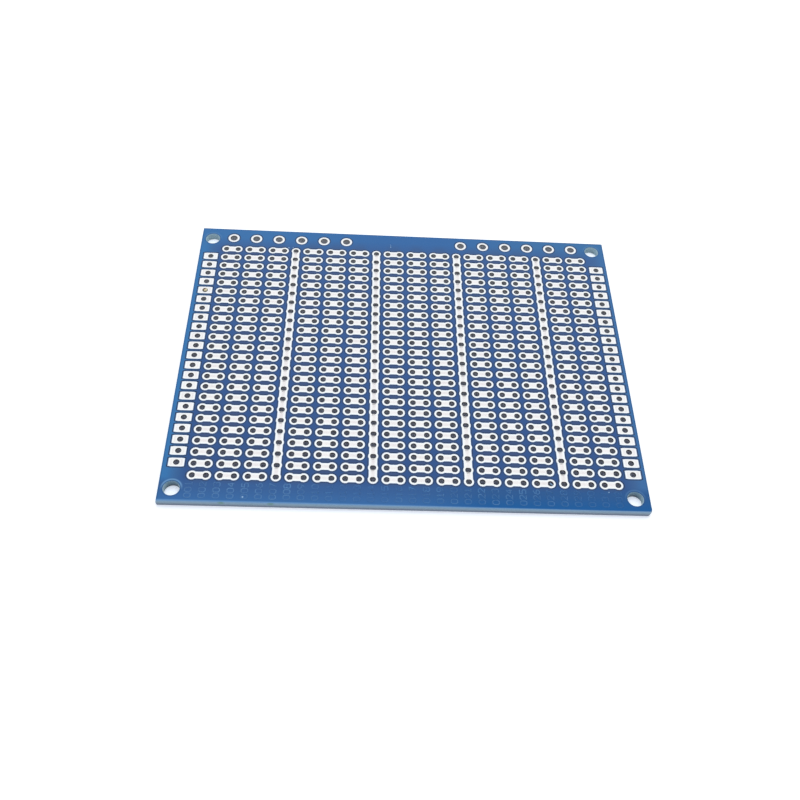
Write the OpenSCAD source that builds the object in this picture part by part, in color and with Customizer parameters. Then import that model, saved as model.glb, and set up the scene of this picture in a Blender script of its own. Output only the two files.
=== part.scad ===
// Joint-hole prototype board: a drilled glass-epoxy laminate with a solder mask and tinned pads on
// one side. The pads lie in columns of joined pairs between four bus strips that run front to
// back. A column of oblong pads stands along each side, and two rows of ring pads for screw
// terminals lie along the back. The board rests on its bare face, pads up, with its long side
// along X and its back edge towards +Y.

/* [Board] */
// Width of the board from left to right, at the middle of its thickness
board_w = 90.2; // [60:0.1:160]
// Depth of the board from front to back along its left side, at the middle of its thickness
board_d = 70.3; // [40:0.1:120]
// Thickness of the laminate
laminate_t = 1.6; // [0.8:0.1:2.4]
// How much shorter the right side is than the left one, because the back edge was cut askew
back_skew = 0.6; // [0:0.1:1]
// Thickness of the web between the scored grooves, where the board was snapped off its panel
web_t = 0.6; // [0.2:0.05:0.7]
// How far each face ends inside the web, because of the slope that its groove leaves
score_inset = 0.1; // [0.05:0.05:0.3]
// Size of the nick at the front right corner
corner_nick = 0.4; // [0.2:0.1:0.8]

/* [Mounting holes] */
// Distance from the side edges to the mounting holes, before their shift to the left
mount_edge_x = 2.65; // [2.3:0.05:3.2]
// How far the mounting holes lie left of the middle of the board
mount_shift = 0.15; // [0:0.05:0.3]
// Distance from the front edge to the front mounting holes
mount_edge_y = 2.7; // [2.3:0.1:3.6]
// Distance from the middle of the back edge to the back mounting holes
mount_back_y = 3; // [2.3:0.1:3.6]
// Diameter of the mounting holes
mount_hole_d = 3; // [2.2:0.1:3.4]
// Clearance between a mounting hole and the edge of the solder mask
mount_mask_gap = 0.05; // [0:0.05:0.2]

/* [Hole grid] */
// Distance between neighbouring holes
pitch = 2.54; // [2.3:0.01:5.08]
// How far the grid lies in front of the middle of the board
grid_forward = 0.38; // [0:0.01:0.6]
// How far the grid lies right of the middle of the board
grid_aside = 0.09; // [0:0.01:0.3]
// Least distance from the front edge to the middle of the row nearest to it
front_margin = 5; // [4:0.1:8]
// Least clearance between the ring pads and the lands in front of them
back_gap = 0.6; // [0.3:0.05:1]
// Least clearance between the edge pads and the lands beside them
side_gap = 0.5; // [0.3:0.05:0.7]
// Number of pad pairs side by side between two bus strips
block_pairs = 3; // [1:1:5]
// Diameter of the drilled component holes
hole_d = 1.1; // [0.7:0.05:1.2]

/* [Pads] */
// Thickness of the copper foil with its tin
pad_t = 0.05; // [0.03:0.01:0.1]
// Diameter of the round land about each hole
land_d = 1.95; // [1.5:0.05:2.1]
// Width of the bridge that joins the two lands of a pair
pair_bridge_w = 1.5; // [0.6:0.1:1.7]
// Width of a bus strip between its lands
bus_w = 1.6; // [0.8:0.1:1.8]
// Length of an oblong edge pad from left to right
edge_pad_l = 3.0; // [2:0.1:3]
// Width of an oblong edge pad from front to back
edge_pad_w = 1.92; // [1.4:0.02:2]
// Distance from the side edges to the outer ends of the edge pads
edge_pad_inset = 1.055; // [0.9:0.005:1.1]
// How far the left edge pads lie behind their rows, and the right ones in front
edge_pad_stagger = 0.15; // [0:0.01:0.2]

/* [Terminal pads] */
// Distance between neighbouring ring pads
terminal_pitch = 5; // [3.5:0.1:5.08]
// Distance between the two rows' nearest ring pads
terminal_gap = 25.6; // [15:0.1:60]
// Least distance from a side edge to the middle of the ring pad nearest to it
terminal_side = 7; // [6:0.1:12]
// How far the ring pads lie left of the middle of the board
terminal_shift = 0.2; // [0:0.05:0.3]
// Distance from the middle of the back edge to the line of ring pads
terminal_edge = 2.6; // [2.2:0.1:3]
// Diameter of a ring pad
terminal_land_d = 2.5; // [2:0.1:2.6]
// Diameter of the hole in a ring pad
terminal_hole_d = 1.5; // [1:0.1:1.7]

/* [Solder mask] */
// Thickness of the solder mask
mask_t = 0.03; // [0.02:0.01:0.05]
// Clearance between a pad and the edge of the mask
mask_gap = 0.1; // [0.05:0.01:0.15]

/* [Hidden] */
$fn = 48;

// Where the back edge lies at its middle.
back_y = (board_d - back_skew) / 2;
terminal_y = back_y - terminal_edge;
terminals = floor((board_w / 2 - terminal_side - terminal_gap / 2) / terminal_pitch) + 1;

// The rows fill the room on both sides of the grid's middle, and the columns the room between
// the edge pads. The board has as many whole blocks as fit, and then what fits of one more.
front_room = board_d / 2 - front_margin - grid_forward;
back_room = terminal_y - terminal_land_d / 2 - back_gap - land_d / 2 + grid_forward;
rows = floor(2 * min(front_room, back_room) / pitch) + 1;
side_room = board_w / 2 - edge_pad_inset - edge_pad_l - side_gap - land_d / 2;
column_room = floor(2 * side_room / pitch) + 1;
block_columns = 2 * block_pairs + 1;
bus_count = floor((column_room - 2) / block_columns);
last_pairs = min(block_pairs, floor((column_room - bus_count * block_columns) / 2));
pair_count = bus_count * block_pairs + last_pairs;
grid_columns = 2 * pair_count + bus_count;
// The edge pads stand beside every row but the first and the last.
edge_rows = rows - 2;
score_depth = (laminate_t - web_t) / 2;
// The scored slopes are cut a little past the faces and edges that they leave.
past = 1;

// Grid column of bus strip k, and of the first hole of pad pair k, both counted from 1.
function bus_column(k) = k * block_columns;
function pair_column(k) = 2 * (k - 1) + floor((k - 1) / block_pairs) + 1;

// Place of a grid column from left to right, and of a row from back to front.
function column_x(i) = (i - (grid_columns + 1) / 2) * pitch + grid_aside;
function row_y(j) = ((rows + 1) / 2 - j) * pitch - grid_forward;

function edge_pad_x(side) = side * (board_w / 2 - edge_pad_inset - edge_pad_l / 2) + grid_aside;
function edge_pad_y(side, j) = row_y(j + 1) - side * edge_pad_stagger;
function terminal_x(side, k) =
    side * (terminal_gap / 2 + (k - 1) * terminal_pitch) - terminal_shift;

// Corners of the board's outline, inset by d all round, from the front left one anticlockwise.
function outline_points(d) = let (
    skew = back_skew / board_w,
    nick = corner_nick - d * (2 - sqrt(2)),
    left = -board_w / 2 + d,
    right = board_w / 2 - d,
    front = -board_d / 2 + d,
    back_at_left = board_d / 2 - d * (sqrt(1 + skew * skew) + skew),
    back_at_right = board_d / 2 - back_skew - d * (sqrt(1 + skew * skew) - skew)
) [
    [left, front],
    [right - nick, front],
    [right, front + nick],
    [right, back_at_right],
    [left, back_at_left]
];

module at_mounting_holes() {
    for (side = [-1, 1], y = [-board_d / 2 + mount_edge_y, back_y - mount_back_y])
        translate([side * (board_w / 2 - mount_edge_x) - mount_shift, y]) children();
}

module at_edge_pads(side) {
    for (j = [1:edge_rows])
        translate([edge_pad_x(side), edge_pad_y(side, j)]) children();
}

module at_terminals(side) {
    for (k = [1:terminals])
        translate([terminal_x(side, k), terminal_y]) children();
}

module at_pair_rows(k) {
    for (j = [1:rows])
        translate([column_x(pair_column(k)) + pitch / 2, row_y(j)]) children();
}

// Two round lands and the bridge between them, grown by g for the mask's opening.
module pair_shape(g) {
    for (s = [-1, 1])
        translate([s * pitch / 2, 0]) circle(d = land_d + 2 * g);
    square([pitch, pair_bridge_w + 2 * g], center = true);
}

module pair_drilling() {
    for (s = [-1, 1])
        translate([s * pitch / 2, 0]) circle(d = hole_d);
}

// A strip from the first row to the last with a round land about each hole.
module bus_shape(g) {
    strip_l = row_y(1) - row_y(rows);
    translate([-bus_w / 2 - g, row_y(rows)]) square([bus_w + 2 * g, strip_l]);
    for (j = [1:rows])
        translate([0, row_y(j)]) circle(d = land_d + 2 * g);
}

module bus_drilling() {
    for (j = [1:rows])
        translate([0, row_y(j)]) circle(d = hole_d);
}

module edge_pad_shape(g) {
    square([edge_pad_l + 2 * g, edge_pad_w + 2 * g], center = true);
}

module all_drilling() {
    for (k = [1:pair_count])
        at_pair_rows(k) pair_drilling();
    for (k = [1:bus_count])
        translate([column_x(bus_column(k)), 0]) bus_drilling();
    for (side = [-1, 1]) {
        at_edge_pads(side) circle(d = hole_d);
        at_terminals(side) circle(d = terminal_hole_d);
    }
    at_mounting_holes() circle(d = mount_hole_d);
}

// The wedge that the scoring wheel takes off one edge of the top face, cut along the edge from
// point a to point b with the board on its left.
module score_wedge(a, b) {
    run = b - a;
    l = norm(run);
    slope = score_inset / score_depth;
    translate([a[0], a[1], 0])
        rotate([0, 0, atan2(run[1], run[0])])
            translate([-past, 0, 0])
                rotate([90, 0, 90])
                    linear_extrude(l + 2 * past)
                        polygon([
                            [0, -score_depth],
                            [score_inset + past * slope, past],
                            [-past, past],
                            [-past, -score_depth]
                        ]);
}

module score_wedges() {
    p = outline_points(0);
    for (n = [0:len(p) - 1])
        score_wedge(p[n], p[(n + 1) % len(p)]);
}

module laminate() {
    color([0.74, 0.78, 0.70])
        difference() {
            linear_extrude(laminate_t)
                difference() {
                    polygon(outline_points(0));
                    all_drilling();
                }
            translate([0, 0, laminate_t]) score_wedges();
            mirror([0, 0, 1]) score_wedges();
        }
}

module solder_mask() {
    color([0.10, 0.33, 0.62])
        translate([0, 0, laminate_t])
            linear_extrude(mask_t)
                difference() {
                    polygon(outline_points(score_inset));
                    for (k = [1:pair_count])
                        at_pair_rows(k) pair_shape(mask_gap);
                    for (k = [1:bus_count])
                        translate([column_x(bus_column(k)), 0]) bus_shape(mask_gap);
                    for (side = [-1, 1]) {
                        at_edge_pads(side) edge_pad_shape(mask_gap);
                        at_terminals(side) circle(d = terminal_land_d + 2 * mask_gap);
                    }
                    at_mounting_holes() circle(d = mount_hole_d + 2 * mount_mask_gap);
                }
}

// Tinned foil on the top face.
module foil() {
    color([0.86, 0.87, 0.88])
        translate([0, 0, laminate_t])
            linear_extrude(pad_t) children();
}

module pad_pairs(k) {
    foil()
        at_pair_rows(k)
            difference() {
                pair_shape(0);
                pair_drilling();
            }
}

module bus_strip(k) {
    foil()
        translate([column_x(bus_column(k)), 0])
            difference() {
                bus_shape(0);
                bus_drilling();
            }
}

module edge_pads(side) {
    foil()
        at_edge_pads(side)
            difference() {
                edge_pad_shape(0);
                circle(d = hole_d);
            }
}

module terminal_pads(side) {
    foil()
        at_terminals(side)
            difference() {
                circle(d = terminal_land_d);
                circle(d = terminal_hole_d);
            }
}

laminate();
solder_mask();
for (k = [1:pair_count])
    pad_pairs(k);
for (k = [1:bus_count])
    bus_strip(k);
edge_pads(-1);  // edge_pads_left
edge_pads(1);  // edge_pads_right
terminal_pads(-1);  // terminal_pads_left
terminal_pads(1);  // terminal_pads_right
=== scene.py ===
import math

import bmesh
import bpy
from mathutils import Matrix, Vector

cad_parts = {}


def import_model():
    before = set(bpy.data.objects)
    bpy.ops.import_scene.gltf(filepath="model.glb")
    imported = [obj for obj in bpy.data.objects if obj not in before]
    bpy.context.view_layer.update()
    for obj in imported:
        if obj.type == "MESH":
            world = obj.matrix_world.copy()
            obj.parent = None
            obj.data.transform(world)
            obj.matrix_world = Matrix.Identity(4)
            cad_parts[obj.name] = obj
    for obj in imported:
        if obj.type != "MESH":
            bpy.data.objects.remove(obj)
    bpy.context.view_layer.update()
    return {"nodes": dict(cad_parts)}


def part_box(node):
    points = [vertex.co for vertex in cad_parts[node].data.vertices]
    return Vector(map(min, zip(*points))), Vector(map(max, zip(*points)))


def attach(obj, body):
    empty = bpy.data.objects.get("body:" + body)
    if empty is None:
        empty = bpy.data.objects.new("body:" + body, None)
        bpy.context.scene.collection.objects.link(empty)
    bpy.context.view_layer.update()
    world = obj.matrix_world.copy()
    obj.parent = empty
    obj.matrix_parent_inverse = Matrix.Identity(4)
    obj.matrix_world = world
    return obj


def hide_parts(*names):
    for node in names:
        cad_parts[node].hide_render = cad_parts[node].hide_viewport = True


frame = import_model()

MM = 0.001

# Board, as the frame gives it
BOARD_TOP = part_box("laminate")[1][2]
MASK_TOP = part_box("solder_mask")[1][2]
PAD_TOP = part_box("pad_pairs_1")[1][2]
BOARD_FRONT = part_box("laminate")[0][1]

# Hole grid and pads
PITCH = 2.54 * MM
ROWS = 24
PAIR_COLUMNS = 14
PAIRS_IN_BLOCK = 3
BUSES = 4
HOLE_R = 0.55 * MM
LAND_R = 0.975 * MM
PAIR_BRIDGE = 1.5 * MM
BUS_BRIDGE = 1.6 * MM
EDGE_PAD = (3.0 * MM, 1.92 * MM)
EDGE_PAD_CORNER = 0.04 * MM
RING_R, RING_HOLE_R = 1.25 * MM, 0.75 * MM
TERMINAL_PITCH = 5.0 * MM
RINGS = 6
MASK_GAP = 0.1 * MM
MOUNT_MIDDLE = (-0.15 * MM, -0.3 * MM)
MOUNT_HALF_PITCH = (42.45 * MM, 32.15 * MM)

# Edges of the top face, each as its distance from the middle of the board and its slope along x
FRONT_EDGE, FRONT_SLOPE = 35.046 * MM, 0.0026
BACK_EDGE, BACK_SLOPE = 34.757 * MM, -0.0074
SIDE_EDGE = 45.0 * MM

# Where the rows of pads give way to the bare margins
SIDE_MARGIN = (40.5 * MM, 44 * MM)
BACK_MARGIN = (29 * MM, 32.5 * MM)
FRONT_MARGIN = (-30 * MM, -31.5 * MM)

# Height and rounding of the tin on a pad
FOIL_T = PAD_TOP - BOARD_TOP
SHOULDER_IN, SHOULDER_Z = 0.035 * MM, 0.62 * FOIL_T
CROWN_IN = 0.235 * MM
LIP_IN = 0.06 * MM

# Steps round a pad with no bridge, and two points that count as one
PLAIN_STEPS = 24
MERGE = 0.001 * MM


def low(name):
    """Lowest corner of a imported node's box."""
    return Vector(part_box(name)[0])


def high(name):
    """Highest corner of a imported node's box."""
    return Vector(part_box(name)[1])


# Places of the pads, taken from the frame's own boxes
FIRST_PAIR_X = (low("pad_pairs_1").x + high("pad_pairs_1").x) / 2
FIRST_ROW_Y = high("pad_pairs_1").y - LAND_R
GRID_Y = FIRST_ROW_Y - (ROWS - 1) / 2 * PITCH
FIRST_BUS_X = (low("bus_strip_1").x + high("bus_strip_1").x) / 2
BLOCK_STEP = (2 * PAIRS_IN_BLOCK + 1) * PITCH


# Node trees

def add(tree, kind, inputs=None, **settings):
    """Adds a node, sets its options, and fills or links its inputs."""
    made = tree.nodes.new(kind)
    for key, value in settings.items():
        setattr(made, key, value)
    for key, value in (inputs or {}).items():
        socket = made.inputs[key]
        if isinstance(value, bpy.types.NodeSocket):
            tree.links.new(value, socket)
        else:
            socket.default_value = value
    return made


def maths(tree, operation, a, b=0.0, c=0.0):
    """One Math node, in a shader tree or a geometry tree."""
    inputs = {0: a, 1: b}
    if operation == "MULTIPLY_ADD":
        inputs[2] = c
    return add(tree, "ShaderNodeMath", inputs, operation=operation).outputs[0]


def material(name):
    """A material with its shader and an output, and nothing else yet."""
    mat = bpy.data.materials.new(name)
    mat.use_nodes = True
    tree = mat.node_tree
    tree.nodes.clear()
    shader = add(tree, "ShaderNodeBsdfPrincipled")
    add(tree, "ShaderNodeOutputMaterial", {"Surface": shader.outputs[0]})
    return mat, tree, shader


def place(tree):
    """Object coordinates, which here are metres in the frame of the board."""
    return add(tree, "ShaderNodeTexCoord").outputs["Object"]


def noise(tree, scale_mm, detail=3.0, roughness=0.5, at=None):
    """Noise whose features are about scale_mm across."""
    made = add(tree, "ShaderNodeTexNoise",
               {"Vector": at or place(tree), "Scale": 1 / (scale_mm * MM),
                "Detail": detail, "Roughness": roughness})
    return made.outputs["Fac"]


def spread(tree, value, low_in, high_in, low_out, high_out):
    """Map Range: takes one range of a value to another, and stops at its ends."""
    made = add(tree, "ShaderNodeMapRange",
               {"Value": value, "From Min": low_in, "From Max": high_in,
                "To Min": low_out, "To Max": high_out})
    return made.outputs["Result"]


def mix(tree, fac, a, b):
    """Mixes two colours."""
    made = add(tree, "ShaderNodeMix", data_type="RGBA")
    for index, value in ((0, fac), (6, a), (7, b)):
        if isinstance(value, bpy.types.NodeSocket):
            tree.links.new(value, made.inputs[index])
        else:
            made.inputs[index].default_value = value
    return made.outputs[2]


def bump(tree, shader, height, depth_mm):
    """Roughens a surface in the shading, as if it were depth_mm deep."""
    made = add(tree, "ShaderNodeBump", {"Height": height, "Distance": depth_mm * MM})
    tree.links.new(made.outputs[0], shader.inputs["Normal"])


def linear(red, green, blue):
    """A colour written as it looks on a screen, from 0 to 255, for a shader's socket."""
    def one(v):
        v /= 255
        return v / 12.92 if v <= 0.04045 else ((v + 0.055) / 1.055) ** 2.4
    return one(red), one(green), one(blue), 1.0


def seen(tree):
    """1 for what the camera sees, also in a mirror or through glass, and 0 for light."""
    path = add(tree, "ShaderNodeLightPath").outputs
    mirrored = maths(tree, "MAXIMUM", path["Is Glossy Ray"], path["Is Transmission Ray"])
    return maths(tree, "MAXIMUM", path["Is Camera Ray"], mirrored)


# Materials

def along_axes(tree):
    """The board's x, y and z at the shaded point."""
    parts = add(tree, "ShaderNodeSeparateXYZ", {"Vector": place(tree)}).outputs
    return parts["X"], parts["Y"], parts["Z"]


def bands(tree, value, *stops):
    """Colour by a value, through (value, colour) stops in rising order."""
    colour = stops[0][1]
    for (low_end, _), (high_end, after) in zip(stops, stops[1:]):
        colour = mix(tree, spread(tree, value, low_end, high_end, 0, 1), colour, after)
    return colour


def from_mounting_hole(tree, x, y):
    """Distance from the middle of the nearest mounting hole, and how far behind it a point is."""
    off = [maths(tree, "SUBTRACT", maths(tree, "ABSOLUTE", maths(tree, "SUBTRACT", at, middle)), half)
           for at, middle, half in zip((x, y), MOUNT_MIDDLE, MOUNT_HALF_PITCH)]
    flat = add(tree, "ShaderNodeCombineXYZ", {"X": off[0], "Y": off[1]}).outputs[0]
    away = add(tree, "ShaderNodeVectorMath", {0: flat}, operation="LENGTH").outputs["Value"]
    return away, maths(tree, "MULTIPLY", off[1], maths(tree, "SIGN", y))


def inward(tree, x, y):
    """Distance in from the front edge, and from the nearest of the other edges, of the top face."""
    front = maths(tree, "MULTIPLY_ADD", x, FRONT_SLOPE, maths(tree, "ADD", y, FRONT_EDGE))
    back = maths(tree, "MULTIPLY_ADD", x, BACK_SLOPE, maths(tree, "SUBTRACT", BACK_EDGE, y))
    side = maths(tree, "SUBTRACT", SIDE_EDGE, maths(tree, "ABSOLUTE", x))
    return front, maths(tree, "MINIMUM", back, side)


# Blue of the mask in each region of the board, its lighter left and front-left margins partly a
# painted reflection of a soft lamp
MASK_BLUE_AND_SHEEN = {
    "front rows": (48, 85, 142), "middle rows": (52, 91, 150), "back rows": (57, 96, 153),
    "left": (54, 119, 180), "right": (60, 111, 168),
    "back left": (56, 114, 174), "back middle": (52, 106, 168), "back right": (58, 113, 168),
    "front left inner": (52, 96, 154), "front left outer": (54, 107, 168),
    "front right inner": (40, 90, 148), "front right outer": (18, 92, 158),
}


def between_bridges(tree, x):
    """1 in line with the middles of the pad pairs, 0 in line with the gaps between them."""
    in_block = maths(tree, "MODULO", maths(tree, "SUBTRACT", x, FIRST_PAIR_X - PITCH), BLOCK_STEP)
    over_pairs = maths(tree, "MINIMUM", in_block, 2 * PAIRS_IN_BLOCK * PITCH)
    phase = maths(tree, "MULTIPLY", maths(tree, "SUBTRACT", over_pairs, PITCH), math.pi / PITCH)
    return spread(tree, maths(tree, "COSINE", phase), -0.8, 0.8, 0, 1)


def blue_among_pads(tree, x, y):
    """The duller blue between the pads, greyed by painted light bounced from the tin where it lies
    between two bridges.
    """
    blue = {name: linear(*rgb) for name, rgb in MASK_BLUE_AND_SHEEN.items()}
    cloudy = noise(tree, 9.0, 2.0)
    colour = bands(tree, y, (-26 * MM, blue["front rows"]), (0, blue["middle rows"]),
                   (26 * MM, blue["back rows"]))
    colour = mix(tree, spread(tree, cloudy, 0.35, 0.65, 0, 0.2), colour, linear(46, 84, 146))
    # painted light: the tin's bounce greys the mask between two bridges
    painted_tin_bounce = maths(tree, "MULTIPLY", between_bridges(tree, x), 0.6)
    return mix(tree, painted_tin_bounce, colour, linear(66, 82, 118))


def blue_in_margins(tree, x, y, colour):
    """Adds the clearer blue of the bare margins along the sides, the back and the front, partly a
    painted reflection at the left and front left.
    """
    blue = {name: linear(*rgb) for name, rgb in MASK_BLUE_AND_SHEEN.items()}
    sides = bands(tree, x, (-30 * MM, blue["left"]), (30 * MM, blue["right"]))
    back = bands(tree, x, (-30 * MM, blue["back left"]), (-4 * MM, blue["back middle"]),
                 (8 * MM, blue["back middle"]), (30 * MM, blue["back right"]))
    inner, outer = [bands(tree, x, (0, blue[f"front left {part}"]),
                          (15 * MM, blue[f"front right {part}"])) for part in ("inner", "outer")]
    front = mix(tree, spread(tree, y, -32 * MM, -34.6 * MM, 0, 1), inner, outer)
    colour = mix(tree, spread(tree, maths(tree, "ABSOLUTE", x), *SIDE_MARGIN, 0, 1), colour, sides)
    colour = mix(tree, spread(tree, y, *BACK_MARGIN, 0, 1), colour, back)
    return mix(tree, spread(tree, y, *FRONT_MARGIN, 0, 1), colour, front)


def rim_of_mounting_holes(tree, x, y, colour):
    """Adds the dark ring about each mounting hole, and a painted highlight on the rim behind it."""
    away, behind = from_mounting_hole(tree, x, y)
    colour = mix(tree, spread(tree, away, 1.6 * MM, 1.9 * MM, 0.6, 0), colour, linear(34, 78, 128))
    # painted highlight: the lighter ring on the rim behind each hole
    worn = maths(tree, "MULTIPLY", spread(tree, away, 1.62 * MM, 1.76 * MM, 0, 1),
                 spread(tree, away, 1.84 * MM, 2.1 * MM, 1, 0))
    worn = maths(tree, "MULTIPLY", worn, spread(tree, behind, -0.3 * MM, 0.9 * MM, 0, 1))
    # painted highlight, strongest at the front left
    diagonal = maths(tree, "ADD", x, y)
    worn = maths(tree, "MULTIPLY", worn, spread(tree, diagonal, -60 * MM, -20 * MM, 0.75, 0.2))
    return mix(tree, worn, colour, linear(118, 168, 214))


def blue_by_place(tree):
    """The mask's blue at each place of the board, darker along the sides and back, with a painted
    highlight along the front edge and about the mounting holes.
    """
    x, y, _ = along_axes(tree)
    colour = blue_in_margins(tree, x, y, blue_among_pads(tree, x, y))
    by_front, by_side = inward(tree, x, y)
    colour = mix(tree, spread(tree, by_side, 0.08 * MM, 0.3 * MM, 0.7, 0), colour,
                 linear(28, 86, 134))
    # painted highlight where the front edge catches the light
    colour = mix(tree, spread(tree, by_front, 0.04 * MM, 0.24 * MM, 0.5, 0), colour,
                 linear(124, 174, 224))
    return rim_of_mounting_holes(tree, x, y, colour)


def lacquer(tree, shader):
    """The surface of solder mask: semi-gloss, slightly uneven, with faint rubbed streaks."""
    fine = noise(tree, 0.5, 2.0)
    stretched = add(tree, "ShaderNodeMapping", {"Vector": place(tree), "Scale": (0.12, 1.0, 1.0)})
    rubbed = noise(tree, 0.35, 2.0, at=stretched.outputs[0])
    shader.inputs["IOR"].default_value = 1.5
    shader.inputs["Specular IOR Level"].default_value = 0.2
    rough = maths(tree, "MULTIPLY_ADD", rubbed, 0.08, spread(tree, fine, 0.3, 0.7, 0.26, 0.34))
    tree.links.new(rough, shader.inputs["Roughness"])
    bump(tree, shader, maths(tree, "ADD", fine, rubbed), 0.005)


def solder_mask():
    """Blue solder mask."""
    mat, tree, shader = material("solder_mask_blue")
    tree.links.new(blue_by_place(tree), shader.inputs["Base Color"])
    lacquer(tree, shader)
    return mat


def mask_rim():
    """The dark line where the mask runs down beside a pad, a painted shade, heavier about the edge
    pads.
    """
    mat, tree, shader = material("solder_mask_rim_painted_shade")
    edge = add(tree, "ShaderNodeAttribute", attribute_name="edge").outputs["Fac"]
    dark = bands(tree, edge, (0.0, blue_by_place(tree)), (0.35, linear(56, 72, 104)),
                 (1.0, linear(34, 42, 58)))
    x, _, _ = along_axes(tree)
    # painted shade, heavier about the edge pads
    by_edge_pads = spread(tree, maths(tree, "ABSOLUTE", x), 40.2 * MM, 40.8 * MM, 0, 0.6)
    tree.links.new(mix(tree, by_edge_pads, dark, linear(36, 42, 56)), shader.inputs["Base Color"])
    lacquer(tree, shader)
    return mat


def raised_mask():
    """Mask over the copper numbers, which show through it a little lighter in places."""
    mat, tree, shader = material("solder_mask_over_copper")
    x, _, _ = along_axes(tree)
    patchy = noise(tree, 2.2, 2.0)
    shows = bands(tree, x, (-44 * MM, linear(84, 132, 186)), (-22 * MM, linear(84, 132, 186)),
                  (-14 * MM, linear(66, 116, 174)), (-5 * MM, linear(62, 112, 172)),
                  (0, linear(72, 122, 178)), (24 * MM, linear(72, 122, 178)),
                  (34 * MM, linear(52, 106, 166)))
    worn = spread(tree, patchy, 0.35, 0.6, 0, 0.65)
    tree.links.new(mix(tree, worn, shows, blue_by_place(tree)), shader.inputs["Base Color"])
    lacquer(tree, shader)
    return mat


def tinned_pads():
    """Tinned copper: brightest on the rounded edges, duller on the flats, with a painted reflection of
    the blue mask at its foot and painted shade where it rolls into the hole.
    """
    mat, tree, shader = material("tinned_copper")
    cloudy = noise(tree, 1.3, 3.0)
    rim, tone, foot, bore = [add(tree, "ShaderNodeAttribute", attribute_name=name).outputs["Fac"]
                             for name in ("rim", "tone", "foot", "bore")]
    wear = maths(tree, "MULTIPLY_ADD", cloudy, 0.6, maths(tree, "MULTIPLY", tone, 0.4))
    flat = mix(tree, spread(tree, wear, 0.2, 0.8, 0, 1), linear(232, 228, 230), linear(245, 243, 244))
    tin = mix(tree, rim, flat, linear(250, 254, 255))
    # painted reflection of the blue mask on the pad's foot
    tin = mix(tree, foot, tin, linear(184, 210, 240))
    # painted shade where the tin rolls into the hole
    tin = mix(tree, bore, tin, linear(70, 62, 64))
    tree.links.new(tin, shader.inputs["Base Color"])
    shader.inputs["Metallic"].default_value = 1.0
    tree.links.new(spread(tree, cloudy, 0.3, 0.7, 0.3, 0.42), shader.inputs["Roughness"])
    bump(tree, shader, noise(tree, 0.25, 2.0), 0.004)
    return mat


def woven(tree):
    """Glass cloth just under the surface: threads that cross at right angles."""
    threads = [add(tree, "ShaderNodeTexWave",
                   {"Vector": place(tree), "Scale": 1 / (3.2 * MM), "Distortion": 1.2,
                    "Detail": 2.0, "Detail Scale": 2.0}, bands_direction=way).outputs["Fac"]
               for way in ("X", "Y")]
    return maths(tree, "MULTIPLY", maths(tree, "ADD", *threads), 0.5)


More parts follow.
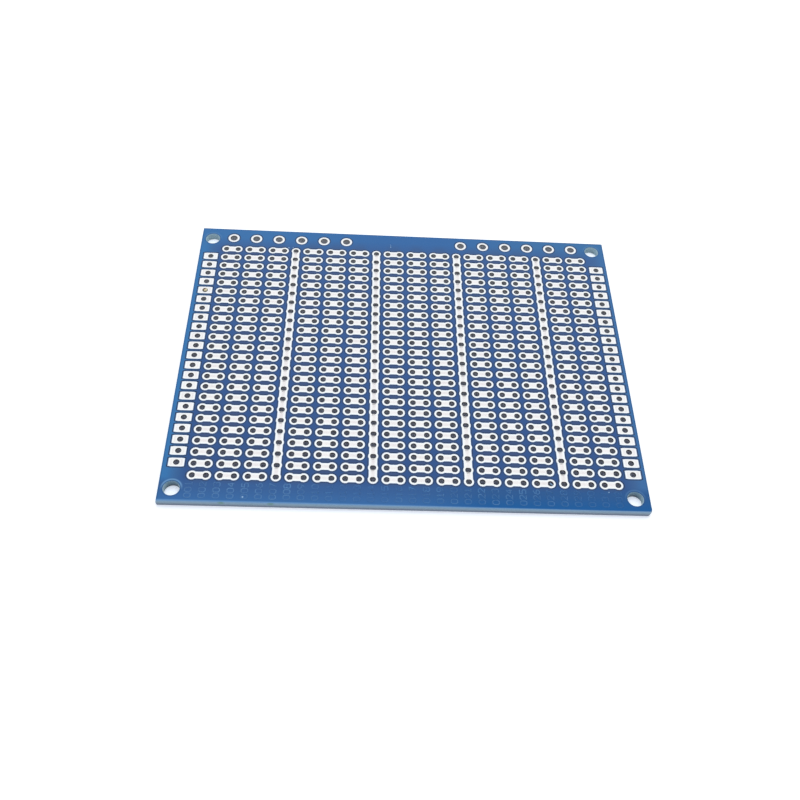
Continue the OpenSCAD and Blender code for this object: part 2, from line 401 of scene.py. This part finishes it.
def laminate():
    """Glass-epoxy laminate: its bare face, its scored edges and the walls of its holes, with painted
    light and shade on the front edge and the hole walls.
    """
    mat, tree, shader = material("glass_epoxy")
    x, y, z = along_axes(tree)
    fibres = noise(tree, 0.3, 4.0, 0.6)
    cloth = woven(tree)

    bare = mix(tree, cloth, linear(158, 172, 160), linear(184, 194, 180))
    # painted light on the hole walls: a painted glow at mid depth, painted shade at the top and at the
    # foot, lighter in the back rows
    drilled_shading = bands(tree, z, (0.0, linear(106, 110, 122)), (0.5 * MM, linear(176, 184, 204)),
                    (1.15 * MM, linear(166, 170, 184)), (1.35 * MM, linear(96, 93, 97)),
                    (1.5 * MM, linear(50, 46, 48)))
    drilled_shading = mix(tree, spread(tree, y, -28 * MM, 30 * MM, 0, 0.4), drilled_shading, linear(198, 200, 198))
    # painted shade deep in the mounting holes, lighter towards the top and in the back holes, and
    # painted light on the side walls, leaving the wall behind the middle darker
    bored_shading = bands(tree, z, (0.0, linear(64, 72, 84)), (0.3 * MM, linear(84, 104, 120)),
                  (1.1 * MM, linear(118, 150, 168)), (1.6 * MM, linear(118, 158, 184)))
    bored_shading = mix(tree, spread(tree, y, -28 * MM, 30 * MM, 0, 0.6), bored_shading, linear(184, 210, 222))
    away, behind = from_mounting_hole(tree, x, y)
    bored_shading = mix(tree, spread(tree, behind, 1.35 * MM, 0.4 * MM, 0, 0.55), bored_shading, linear(190, 222, 236))
    # painted light on the front edge: painted shade towards the floor, a painted highlight on the top
    # lip
    front_edge = bands(tree, z, (0.0, linear(86, 101, 128)), (0.45 * MM, linear(95, 111, 136)),
                       (0.9 * MM, linear(121, 146, 168)), (1.1 * MM, linear(130, 161, 184)),
                       (1.6 * MM, linear(120, 166, 208)))
    front_edge = mix(tree, spread(tree, fibres, 0.3, 0.7, 0, 0.2), front_edge, linear(160, 176, 196))
    stains = [spread(tree, maths(tree, "ABSOLUTE", maths(tree, "SUBTRACT", x, at * MM)),
                     0.25 * MM, 0.75 * MM, 0.6, 0) for at in (-33.48, -24.57)]
    stained = maths(tree, "MULTIPLY", maths(tree, "MAXIMUM", *stains),
                    spread(tree, z, 0.7 * MM, 1.2 * MM, 0, 1))
    front_edge = mix(tree, stained, front_edge, linear(92, 140, 124))
    other_edges = bands(tree, z, (0.0, linear(120, 132, 150)), (1.1 * MM, linear(96, 130, 156)),
                        (1.2 * MM, linear(24, 96, 134)), (1.6 * MM, linear(20, 92, 132)))

    inside = mix(tree, spread(tree, z, 1.59 * MM, 1.596 * MM, 0, 1), drilled_shading, linear(60, 108, 166))
    inside = mix(tree, maths(tree, "LESS_THAN", away, 2.2 * MM), inside, bored_shading)
    outer_x = maths(tree, "GREATER_THAN", maths(tree, "ABSOLUTE", x), 44.9 * MM)
    outer = maths(tree, "MAXIMUM", outer_x, maths(tree, "GREATER_THAN", y, 34.2 * MM))
    inside = mix(tree, outer, inside, other_edges)
    inside = mix(tree, maths(tree, "LESS_THAN", y, -34.9 * MM), inside, front_edge)
    whole = mix(tree, maths(tree, "LESS_THAN", z, 0.004 * MM), inside, bare)
    tree.links.new(whole, shader.inputs["Base Color"])
    shader.inputs["Roughness"].default_value = 0.5
    bump(tree, shader, maths(tree, "ADD", fibres, cloth), 0.012)
    return mat


def speck_material(name, dark, pale):
    """A speck of dust or dirt, uneven between two colours."""
    mat, tree, shader = material(name)
    tree.links.new(mix(tree, noise(tree, 0.2, 2.0), dark, pale), shader.inputs["Base Color"])
    shader.inputs["Roughness"].default_value = 0.8
    return mat


MASK = solder_mask()
RIM = mask_rim()
RAISED = raised_mask()
TIN = tinned_pads()
EPOXY = laminate()
CRUMB = speck_material("laminate_crumb", linear(206, 192, 150), linear(240, 234, 206))
BURNT = speck_material("burnt_crumb", linear(84, 48, 40), linear(116, 76, 60))
DUST_AND_GLINT = speck_material("pale_dust_and_glint", linear(120, 164, 212), linear(160, 196, 232))


# Meshes

def object_from(name, bm, finish):
    """Turns a bmesh into an object of the scene with one material, shaded smooth."""
    mesh = bpy.data.meshes.new(name)
    bm.to_mesh(mesh)
    bm.free()
    mesh.materials.append(finish)
    mesh.shade_smooth()
    made = bpy.data.objects.new(name, mesh)
    bpy.context.scene.collection.objects.link(made)
    return made


def polar(radius, angle):
    """A point at a distance from the origin, in the direction of an angle."""
    return Vector((radius * math.cos(angle), radius * math.sin(angle)))


class Land:
    """One round land about its hole, at the origin, with bridges leaving it in throats directions.

    A bridge ends on the line where the next land's bridge begins, at reach from the hole."""

    ONE_ARC_STEPS, SHARED_ARC_STEPS = 11, 4
    THROAT_STEPS = 3

    def __init__(self, radius, hole, bridge, reach, throats):
        self.radius, self.hole = radius, hole
        self.bridge, self.reach, self.throats = bridge, reach, throats
        self.arc_steps = self.ONE_ARC_STEPS if throats == 1 else self.SHARED_ARC_STEPS

    def corner(self, inset):
        """Angle at which a bridge's side meets the land, with both drawn in by inset."""
        return math.asin((self.bridge / 2 - inset) / (self.radius - inset))

    def arc(self, p, radius, half):
        """Points round the land from bridge p to the next, starting half an angle past its axis."""
        start = math.tau * p / self.throats + half
        sweep = math.tau / self.throats - 2 * half
        return [polar(radius, start + sweep * i / self.arc_steps)
                for i in range(self.arc_steps + 1)]

    def bridge_end(self, p, side, inset):
        """The bridge's end on the given side of its axis."""
        axis = polar(1, math.tau * p / self.throats)
        return axis * self.reach + axis.orthogonal() * side * (self.bridge / 2 - inset)

    def sides(self, inset):
        """The outline, drawn in by inset, as one path for each stretch between two bridges."""
        half = self.corner(inset)
        return [[self.bridge_end(p, 1, inset), *self.arc(p, self.radius - inset, half),
                 self.bridge_end(p + 1, -1, inset)] for p in range(self.throats)]


def blank():
    """An empty bmesh whose points can carry the values that the materials read."""
    bm = bmesh.new()
    for name in ("rim", "foot", "bore", "edge"):
        bm.verts.layers.float.new(name)
    return bm


def marked(bm, co, **values):
    """A new point that carries named values."""
    made = bm.verts.new(co)
    for name, value in values.items():
        made[bm.verts.layers.float[name]] = value
    return made


def level(bm, paths, z, **values):
    """Points of a bmesh along flat paths, all at one height."""
    return [[marked(bm, (x, y, z), **values) for x, y in path] for path in paths]


def band(bm, outer, inner):
    """Faces between two levels of the same outline."""
    for a, b in zip(outer, inner):
        for i in range(len(a) - 1):
            bm.faces.new((a[i], a[i + 1], b[i + 1], b[i]))


def along(a, b, steps):
    """The points that divide the way from a to b into equal steps, without its ends."""
    return [a.lerp(b, i / steps) for i in range(1, steps)]


def web(bm, land, paths, z, ring, upward):
    """Fills from an outline in to the hole, and out along each bridge to its end."""
    def fill(a, b):
        for i in range(len(a) - 1):
            face = (a[i], a[i + 1], b[i + 1], b[i])
            bm.faces.new(face if upward else face[::-1])

    steps = land.THROAT_STEPS
    count = land.arc_steps + steps
    for p, path in enumerate(paths):
        before = paths[p - 1]
        throat = [before[-2], *level(bm, [along(before[-2].co.xy, path[1].co.xy, steps)], z,
                                     rim=0.35)[0], path[1]]
        end = [before[-1], *level(bm, [along(before[-1].co.xy, path[0].co.xy, steps)], z)[0],
               path[0]]
        first = p * count
        rim = [ring[(first + i) % len(ring)] for i in range(-steps, land.arc_steps + 1)]
        fill(path[1:-1], rim[steps:])
        fill(throat, rim[:steps + 1])
        fill(end, throat)


def hole_ring(bm, land, radius, half, z, **values):
    """Points round the hole in step with the outline's: each arc, then the throat after it."""
    points = []
    for p in range(land.throats):
        points += land.arc(p, radius, half)
        start = math.tau * (p + 1) / land.throats - half
        points += [polar(radius, start + 2 * half * i / land.THROAT_STEPS)
                   for i in range(1, land.THROAT_STEPS)]
    return level(bm, [points], z, **values)[0]


def tinned_land(land):
    """A land with its share of bridges: foot, shoulder, crown and the roll into the hole."""
    bm = blank()
    half = land.corner(CROWN_IN)
    foot = level(bm, land.sides(0), 0, foot=1.0)
    shoulder = level(bm, land.sides(SHOULDER_IN), SHOULDER_Z, rim=1.0, foot=0.1)
    crown = level(bm, land.sides(CROWN_IN), FOIL_T, rim=1.0)
    lip = hole_ring(bm, land, land.hole + LIP_IN, half, SHOULDER_Z, rim=1.0)
    wall = hole_ring(bm, land, land.hole, half, 0, bore=1.0)
    band(bm, foot, shoulder)
    band(bm, shoulder, crown)
    web(bm, land, crown, FOIL_T, lip, True)
    band(bm, [[*lip, lip[0]]], [[*wall, wall[0]]])
    web(bm, land, foot, 0, wall, False)
    return bm


def closed_bands(bm, rings):
    """Faces between each ring and the next, and from the last back to the first."""
    for a, b in zip(rings, rings[1:] + rings[:1]):
        band(bm, [[*a, a[0]]], [[*b, b[0]]])


def all_round():
    """Angles at equal steps round a pad that has no bridge."""
    return [math.tau * i / PLAIN_STEPS for i in range(PLAIN_STEPS)]


def plain_pad(outline, hole, flat):
    """A pad with one hole and no bridge: outline(inset, angle) gives a point of its edge.

    flat is the share of the way from the crown's edge to the hole where its duller flat lies."""
    bm = blank()
    angles = all_round()
    crown = [outline(CROWN_IN, a) for a in angles]
    lip = [polar(hole + LIP_IN, a) for a in angles]
    closed_bands(bm, [
        level(bm, [[outline(0, a) for a in angles]], 0, foot=1.0)[0],
        level(bm, [[outline(SHOULDER_IN, a) for a in angles]], SHOULDER_Z, rim=1.0, foot=0.1)[0],
        level(bm, [crown], FOIL_T, rim=1.0)[0],
        level(bm, [[a.lerp(b, flat) for a, b in zip(crown, lip)]], FOIL_T)[0],
        level(bm, [lip], SHOULDER_Z, rim=1.0)[0],
        level(bm, [[polar(hole, a) for a in angles]], 0, bore=1.0)[0],
    ])
    return bm


# Section of the bead that the mask forms beside a pad: (distance from the pad, height, darkness of the
# painted shade)
BEAD = ((0.27 * MM, -0.002 * MM, 0.0), (0.23 * MM, 0.003 * MM, 0.35), (0.17 * MM, 0.006 * MM, 0.75),
        (0.115 * MM, 0.004 * MM, 1.0), (MASK_GAP, -0.02 * MM, 0.7))


def bead_about_land(land):
    """The bead beside one land and its share of bridges."""
    bm = blank()
    levels = [level(bm, land.sides(-out), z, edge=dark) for out, z, dark in BEAD]
    for a, b in zip(levels, levels[1:] + levels[:1]):
        band(bm, a, b)
    return bm


def bead_about(outline):
    """The bead beside a pad with no bridge."""
    bm = blank()
    angles = all_round()
    closed_bands(bm, [level(bm, [[outline(-out, a) for a in angles]], z, edge=dark)[0]
                      for out, z, dark in BEAD])
    return bm


def rounded_box(size, radius):
    """Edge of a rectangle with slightly rounded corners, by the angle from its middle."""
    def edge(inset, angle):
        half = Vector((size[0] / 2 - inset, size[1] / 2 - inset))
        way = polar(1, angle)
        reach = min(half[k] / abs(way[k]) if abs(way[k]) > 1e-9 else 1.0 for k in (0, 1))
        point = way * reach
        # round off the corner
        inner = half - Vector((radius, radius))
        over = Vector((max(abs(point.x) - inner.x, 0), max(abs(point.y) - inner.y, 0)))
        if over.x > 0 and over.y > 0:
            over = over.normalized() * radius
            point = Vector((math.copysign(inner.x + over.x, point.x),
                            math.copysign(inner.y + over.y, point.y)))
        return point
    return edge


# Geometry nodes

def rows_tree():
    """Lays copies of the incoming mesh in rows and columns, with a wider step after each block."""
    tree = bpy.data.node_groups.new("lay_in_rows", "GeometryNodeTree")
    sockets = [
        ("Master", "NodeSocketGeometry"), ("Columns", "NodeSocketInt"), ("Rows", "NodeSocketInt"),
        ("First", "NodeSocketVector"), ("Column step", "NodeSocketFloat"),
        ("Row step", "NodeSocketFloat"), ("Columns in block", "NodeSocketInt"),
        ("Block step", "NodeSocketFloat"), ("Turned copy", "NodeSocketBool"),
        ("Crown low", "NodeSocketFloat"), ("Material", "NodeSocketMaterial"),
        ("Seed", "NodeSocketInt"),
    ]
    for name, kind in sockets:
        tree.interface.new_socket(name=name, in_out="INPUT", socket_type=kind)
    tree.interface.new_socket(name="Laid", in_out="OUTPUT", socket_type="NodeSocketGeometry")
    given = add(tree, "NodeGroupInput").outputs

    turned = add(tree, "GeometryNodeTransform",
                 {"Geometry": given["Master"], "Rotation": (0, 0, math.pi)}).outputs[0]
    both = add(tree, "GeometryNodeJoinGeometry")
    tree.links.new(given["Master"], both.inputs[0])
    tree.links.new(turned, both.inputs[0])
    merged = add(tree, "GeometryNodeMergeByDistance",
                 {"Geometry": both.outputs[0], "Distance": MERGE}).outputs[0]
    choice = add(tree, "GeometryNodeSwitch",
                 {"Switch": given["Turned copy"], "False": given["Master"], "True": merged},
                 input_type="GEOMETRY").outputs[0]

    index = add(tree, "GeometryNodeInputIndex").outputs[0]
    row = maths(tree, "MODULO", index, given["Rows"])
    column = maths(tree, "FLOOR", maths(tree, "DIVIDE", index, given["Rows"]))
    block = maths(tree, "FLOOR", maths(tree, "DIVIDE", column, given["Columns in block"]))
    x = maths(tree, "MULTIPLY_ADD", column, given["Column step"],
              maths(tree, "MULTIPLY", block, given["Block step"]))
    y = maths(tree, "MULTIPLY", row, maths(tree, "MULTIPLY", given["Row step"], -1.0))
    offset = add(tree, "ShaderNodeCombineXYZ", {"X": x, "Y": y}).outputs[0]
    spot = add(tree, "ShaderNodeVectorMath", {0: offset, 1: given["First"]},
               operation="ADD").outputs[0]
    count = maths(tree, "MULTIPLY", given["Columns"], given["Rows"])
    points = add(tree, "GeometryNodePoints", {"Count": count, "Position": spot}).outputs[0]

    crown = add(tree, "FunctionNodeRandomValue",
                {"Seed": given["Seed"], "ID": index}, data_type="FLOAT")
    tree.links.new(given["Crown low"], crown.inputs[2])
    crown.inputs[3].default_value = 1.0
    scale = add(tree, "ShaderNodeCombineXYZ", {"X": 1.0, "Y": 1.0, "Z": crown.outputs[1]}).outputs[0]
    laid = add(tree, "GeometryNodeInstanceOnPoints",
               {"Points": points, "Instance": choice, "Scale": scale}).outputs[0]
    tone = add(tree, "FunctionNodeRandomValue",
               {"Seed": maths(tree, "ADD", given["Seed"], 1.0)}, data_type="FLOAT")
    kept = add(tree, "GeometryNodeStoreNamedAttribute",
               {"Geometry": laid, "Name": "tone", "Value": tone.outputs[1]},
               data_type="FLOAT", domain="INSTANCE").outputs[0]
    real = add(tree, "GeometryNodeRealizeInstances", {"Geometry": kept}).outputs[0]
    dressed = add(tree, "GeometryNodeSetMaterial",
                  {"Geometry": real, "Material": given["Material"]}).outputs[0]
    add(tree, "NodeGroupOutput", {0: dressed})
    return tree


ROWS_TREE = rows_tree()


def lay(name, bm, finish, first, columns=1, rows=1, column_step=0.0, row_step=0.0,
        in_block=1000, block_step=0.0, turned=False, crown_low=1.0, seed=1):
    """Makes one object of many copies of a mesh, as a plain mesh."""
    made = object_from(name, bm, finish)
    modifier = made.modifiers.new("rows", "NODES")
    modifier.node_group = ROWS_TREE
    values = {
        "Columns": columns, "Rows": rows, "First": first, "Column step": column_step,
        "Row step": row_step, "Columns in block": in_block, "Block step": block_step,
        "Turned copy": turned, "Crown low": crown_low, "Material": finish, "Seed": seed,
    }
    for socket in ROWS_TREE.interface.items_tree:
        if socket.in_out == "INPUT" and socket.name in values:
            modifier[socket.identifier] = values[socket.name]
    graph = bpy.context.evaluated_depsgraph_get()
    plain = bpy.data.meshes.new_from_object(made.evaluated_get(graph),
                                            preserve_all_data_layers=True, depsgraph=graph)
    made.modifiers.clear()
    made.data = plain
    return made


def join(name, *objects):
    """Joins plain objects into the first, merges what meets, and renames it."""
    bm = bmesh.new()
    for one in objects:
        bm.from_mesh(one.data)
    bmesh.ops.remove_doubles(bm, verts=bm.verts, dist=MERGE)
    bm.to_mesh(objects[0].data)
    bm.free()
    for one in objects[1:]:
        bpy.data.objects.remove(one)
    objects[0].name = name
    return objects[0]


# Pads

def shifted(bm, x=0.0, y=0.0, turn=0.0):
    """The same bmesh, turned about the origin and then moved."""
    bmesh.ops.transform(bm, verts=bm.verts,
                        matrix=Matrix.Translation((x, y, 0)) @ Matrix.Rotation(turn, 4, "Z"))
    return bm


def on_board(name, shape, finish, first, *steps, **more):
    """Lays pads on the laminate, or their beads on the mask."""
    x, y = first
    height = MASK_TOP if finish is RIM else BOARD_TOP
    return lay(name, shape, finish, (x, y, height), *steps, **more)


def in_pairs(name, make, finish, **more):
    """Lays pads or beads over the joined pairs, from one half and its turned copy."""
    land = Land(LAND_R, HOLE_R, PAIR_BRIDGE, PITCH / 2, 1)
    half = shifted(make(land), x=-PITCH / 2)
    return on_board(name, half, finish, (FIRST_PAIR_X, FIRST_ROW_Y), PAIR_COLUMNS, ROWS,
                    2 * PITCH, PITCH, PAIRS_IN_BLOCK, PITCH, turned=True, **more)


def in_strips(name, make, finish):
    """Lays pads or beads along the bus strips: a cell for each row, and an end at either end."""
    middle = Land(LAND_R, HOLE_R, BUS_BRIDGE, PITCH / 2, 2)
    end = Land(LAND_R, HOLE_R, BUS_BRIDGE, PITCH / 2, 1)
    quarter = math.pi / 2
    cells = on_board(f"{name}_cells", shifted(make(middle), turn=quarter), finish,
                     (FIRST_BUS_X, FIRST_ROW_Y - PITCH), BUSES, ROWS - 2, BLOCK_STEP, PITCH)
    ends = on_board(f"{name}_ends", shifted(make(end), y=(ROWS - 1) / 2 * PITCH, turn=-quarter),
                    finish, (FIRST_BUS_X, GRID_Y), BUSES, 1, BLOCK_STEP, turned=True)
    return join(name, cells, ends)


def along_sides(name, make, finish, **more):
    """Lays pads or beads down the left and the right side."""
    laid = []
    for side in ("left", "right"):
        first = ((low(f"edge_pads_{side}").x + high(f"edge_pads_{side}").x) / 2,
                 high(f"edge_pads_{side}").y - EDGE_PAD[1] / 2)
        laid.append(on_board(f"{name}_{side}", make(), finish, first, 1, ROWS - 2, 0, PITCH, **more))
    return join(name, *laid)


def along_back(name, make, finish, **more):
    """Lays rings or their beads along the back, six to the left and six to the right."""
    laid = []
    for side in ("left", "right"):
        first = (low(f"terminal_pads_{side}").x + RING_R, high(f"terminal_pads_{side}").y - RING_R)
        laid.append(on_board(f"{name}_{side}", make(), finish, first, RINGS, 1, TERMINAL_PITCH,
                             **more))
    return join(name, *laid)


def ring_edge(inset, angle):
    """Edge of a ring pad, by the angle from its middle."""
    return polar(RING_R - inset, angle)


EDGE_OUTLINE = rounded_box(EDGE_PAD, EDGE_PAD_CORNER)


def pads():
    """The tinned pads, which take the place of the frame's."""
    def oblong():
        return plain_pad(EDGE_OUTLINE, HOLE_R, 0.35)

    def ring():
        return plain_pad(ring_edge, RING_HOLE_R, 0.5)

    return (
        (in_pairs("pair_pads", tinned_land, TIN, crown_low=0.8, seed=3),
         [f"pad_pairs_{k}" for k in range(1, PAIR_COLUMNS + 1)]),
        (in_strips("bus_strips", tinned_land, TIN),
         [f"bus_strip_{k}" for k in range(1, BUSES + 1)]),
        (along_sides("edge_pads", oblong, TIN, crown_low=0.85, seed=5),
         ["edge_pads_left", "edge_pads_right"]),
        (along_back("ring_pads", ring, TIN, crown_low=0.85, seed=7),
         ["terminal_pads_left", "terminal_pads_right"]),
    )


def mask_beads():
    """The dark bead of mask about every pad."""
    def oblong():
        return bead_about(EDGE_OUTLINE)

    def ring():
        return bead_about(ring_edge)

    return (
        in_pairs("beads_of_pairs", bead_about_land, RIM),
        in_strips("beads_of_strips", bead_about_land, RIM),
        along_sides("beads_of_edge_pads", oblong, RIM),
        along_back("beads_of_rings", ring, RIM),
    )


# Numbers of the columns, in copper strokes under the mask of the front margin

DIGIT_SIZE = (0.88 * MM, 1.18 * MM)
DIGIT_STEP = 1.19 * MM
STROKE = 0.2 * MM
RAISED_BY, SUNK_BY = 0.009 * MM, 0.01 * MM
STROKE_OVER_STROKE = 0.002 * MM
COLUMNS = 32
FROM_FRONT, FROM_COLUMN = 0.84 * MM, 0.33 * MM

# Strokes of each digit in a unit box; a stroke that ends where it starts is a loop
DIGITS = {
    "0": [[(0.25, 0), (0.75, 0), (1, 0.2), (1, 0.8), (0.75, 1), (0.25, 1), (0, 0.8), (0, 0.2),
           (0.25, 0)]],
    "1": [[(0.2, 0.78), (0.55, 1), (0.55, 0)], [(0.2, 0), (0.9, 0)]],
    "2": [[(0, 0.75), (0.22, 1), (0.78, 1), (1, 0.8), (1, 0.62), (0, 0), (1, 0)]],
    "3": [[(0, 0.88), (0.25, 1), (0.75, 1), (1, 0.86), (1, 0.66), (0.72, 0.53), (1, 0.38),
           (1, 0.14), (0.75, 0), (0.25, 0), (0, 0.12)]],
    "4": [[(0.75, 0), (0.75, 1), (0, 0.3)], [(0, 0.3), (1, 0.3)]],
    "5": [[(1, 1), (0.1, 1), (0, 0.55), (0.7, 0.6), (1, 0.42), (1, 0.15), (0.75, 0), (0.2, 0),
           (0, 0.12)]],
    "6": [[(0.9, 1), (0.3, 0.8), (0, 0.4), (0, 0.18), (0.25, 0), (0.75, 0), (1, 0.18), (1, 0.36),
           (0.75, 0.54), (0.25, 0.54)], [(0.25, 0.54), (0.03, 0.38)]],
    "7": [[(0, 1), (1, 1), (0.35, 0)]],
    "8": [[(0.3, 0.53), (0, 0.7), (0, 0.85), (0.25, 1), (0.75, 1), (1, 0.85), (1, 0.7),
           (0.7, 0.53), (1, 0.36), (1, 0.15), (0.75, 0), (0.25, 0), (0, 0.15), (0, 0.36),
           (0.3, 0.53)]],
    "9": [[(0.1, 0), (0.7, 0.2), (1, 0.6), (1, 0.82), (0.75, 1), (0.25, 1), (0, 0.82), (0, 0.64),
           (0.25, 0.46), (0.75, 0.46)], [(0.75, 0.46), (0.97, 0.62)]],
}


def ribbon(bm, points, width, base, top):
    """A flat stroke through the points, from the base height to the top."""
    loop = (points[0] - points[-1]).length < 1e-9
    if loop:
        points = points[:-1]
    count = len(points)
    sections = []
    for i, point in enumerate(points):
        before = points[i - 1] if loop or i else None
        after = points[(i + 1) % count] if loop or i < count - 1 else None
        ways = [(b - a).normalized() for a, b in ((before, point), (point, after))
                if a is not None and b is not None]
        way = sum(ways, Vector((0, 0))).normalized()
        reach = width / 2 / max(way.dot(ways[0]), 0.5)
        side = way.orthogonal() * reach
        sections.append([bm.verts.new((*(point + side * s), z))
                         for s, z in ((1, base), (1, top), (-1, top), (-1, base))])
    for i in range(count if loop else count - 1):
        a, b = sections[i], sections[(i + 1) % count]
        for k in range(4):
            bm.faces.new((a[k], a[(k + 1) % 4], b[(k + 1) % 4], b[k]))
    if not loop:
        bm.faces.new(sections[0][::-1])
        bm.faces.new(sections[-1])


def column_numbers():
    """001 to 032, one beside each column of holes, read from the right side of the board."""
    bm = bmesh.new()
    wide, tall = DIGIT_SIZE
    first_x = FIRST_PAIR_X - PITCH / 2
    front_y = BOARD_FRONT + FROM_FRONT
    for column in range(COLUMNS):
        foot = first_x + column * PITCH - FROM_COLUMN + tall / 2
        for k, digit in enumerate(f"{column + 1:03d}"):
            start = front_y + k * DIGIT_STEP
            for order, stroke in enumerate(DIGITS[digit]):
                points = [Vector((foot - v * tall, start + u * wide)) for u, v in stroke]
                more = order * STROKE_OVER_STROKE
                ribbon(bm, points, STROKE, MASK_TOP - SUNK_BY - more, MASK_TOP + RAISED_BY + more)
    return object_from("column_numbers", bm, RAISED)


# Crumbs, dust and specks of the board in the photograph

TOP_OF_FLAKE = 0.9


def flake(bm, outline, base, top):
    """A flat crumb with the given outline in millimetres, a little smaller at its top."""
    middle = sum((Vector(p) for p in outline), Vector((0, 0))) / len(outline)
    rings = []
    for z, share in ((base, 1.0), (top, TOP_OF_FLAKE)):
        rings.append([bm.verts.new((*((middle + (Vector(p) - middle) * share) * MM), z * MM))
                      for p in outline])
    bm.faces.new(rings[1])
    bm.faces.new(rings[0][::-1])
    band(bm, [[*rings[0], rings[0][0]]], [[*rings[1], rings[1][0]]])


CRUMB_HOLE = (-42.455, 16.53)


def crumb(name, finish, base, top, *outline):
    """Part of the crumb of laminate stuck in one hole, its outline taken from the hole's middle."""
    bm = bmesh.new()
    x, y = CRUMB_HOLE
    flake(bm, [(x + across, y + forward) for across, forward in outline], base, top)
    return object_from(name, bm, finish)


def crumbs():
    """The pale part of the crumb and its burnt part."""
    return (
        crumb("crumb_in_hole", CRUMB, 1.3, 1.62, (-0.42, -0.3), (-0.05, -0.5), (0.34, -0.38),
              (0.5, -0.02), (0.36, 0.34), (0.08, 0.2), (-0.2, -0.06)),
        crumb("burnt_crumb_in_hole", BURNT, 1.4, 1.61, (-0.5, -0.12), (-0.24, -0.08), (0.04, 0.2),
              (0.3, 0.36), (0.1, 0.5), (-0.26, 0.42)),
    )


def round_speck(x, y, radius):
    """Outline of a speck, with seven corners."""
    corners = [polar(radius, math.tau * k / 7) for k in range(7)]
    return [(x + corner.x, y + corner.y) for corner in corners]


def dust_and_glint():
    """Pale dust on the mask, and a splinter in one hole whose pale blue is a painted glint."""
    bm = bmesh.new()
    for x, y, radius in ((-29.67, -33.98, 0.2), (37.49, -31.18, 0.13), (-25.68, 29.78, 0.18),
                         (-24.75, 29.9, 0.12), (-3.1, 31.0, 0.12)):
        flake(bm, round_speck(x, y, radius), 1.625, 1.648)
    flake(bm, [(-3.14, 31.1), (-3.06, 31.1), (-3.1, 32.0), (-3.15, 32.0)], 1.625, 1.64)
    # a splinter in one hole, its pale blue a painted glint
    flake(bm, [(27.14, -30.04), (27.24, -29.94), (26.76, -29.36), (26.6, -29.46)], 1.4, 1.56)
    return object_from("dust_and_glint", bm, DUST_AND_GLINT)


def dress_frame():
    """Gives the CAD nodes that stay their own finishes."""
    for name, finish in (("laminate", EPOXY), ("solder_mask", MASK)):
        mesh = frame["nodes"][name].data
        mesh.materials.clear()
        mesh.materials.append(finish)


dress_frame()
for piece, nodes in pads():
    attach(piece, "root")
    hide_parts(*nodes)
for piece in (*mask_beads(), column_numbers(), dust_and_glint()):
    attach(piece, "root")
for piece in crumbs():
    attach(piece, "root")


# Stage, light and camera

def floor():
    """White floor that takes the board's shadow, a little bluish in it."""
    bm = bmesh.new()
    bmesh.ops.create_grid(bm, x_segments=1, y_segments=1, size=1.5)
    mat, tree, shader = material("floor_white")
    shader.inputs["Base Color"].default_value = (0.95, 0.95, 0.95, 1)
    shader.inputs["Roughness"].default_value = 0.9
    shader.inputs["Specular IOR Level"].default_value = 0.0
    shader.inputs["Emission Color"].default_value = (0.74, 0.83, 1, 1)
    tree.links.new(maths(tree, "MULTIPLY", seen(tree), 0.41), shader.inputs["Emission Strength"])
    made = object_from("floor", bm, mat)


def world():
    """White surroundings: strength 1 where seen or mirrored, less as light."""
    made = bpy.data.worlds.new("studio")
    made.use_nodes = True
    bpy.context.scene.world = made
    tree = made.node_tree
    tree.nodes.clear()
    light = spread(tree, seen(tree), 0, 1, 0.68, 1.0)
    back = add(tree, "ShaderNodeBackground", {"Color": (1, 1, 1, 1), "Strength": light})
    add(tree, "ShaderNodeOutputWorld", {"Surface": back.outputs[0]})


def softbox(name, spot, target, size, power):
    """A square of soft light that shines from a spot towards a target, and isn't mirrored."""
    lamp = bpy.data.lights.new(name, "AREA")
    lamp.shape = "RECTANGLE"
    lamp.size, lamp.size_y = size
    lamp.energy = power
    made = bpy.data.objects.new(name, lamp)
    made.visible_glossy = False
    made.location = spot
    made.rotation_euler = (Vector(target) - Vector(spot)).to_track_quat("-Z", "Y").to_euler()
    bpy.context.scene.collection.objects.link(made)


def camera():
    """The photograph's view, found from the hole grid's perspective."""
    stands = Vector((-9.2355, -117.763, 145.7226)) * MM
    aims = Vector((-1.184, -11.247, 1.6)) * MM
    lens, roll = 41.147, math.radians(5.112)
    data = bpy.data.cameras.new("camera")
    data.sensor_width, data.lens = 36, lens
    data.clip_start, data.clip_end = 0.01, 10
    made = bpy.data.objects.new("camera", data)
    turn = (aims - stands).to_track_quat("-Z", "Y").to_matrix().to_4x4()
    made.matrix_world = Matrix.Translation(stands) @ turn @ Matrix.Rotation(roll, 4, "Z")
    bpy.context.scene.collection.objects.link(made)
    bpy.context.scene.camera = made


camera()
floor()
world()
softbox("key", (0.03, 0.2, 0.55), (0, 0, 0), (0.4, 0.4), 1.1)
bpy.context.scene.view_settings.view_transform = "Standard"
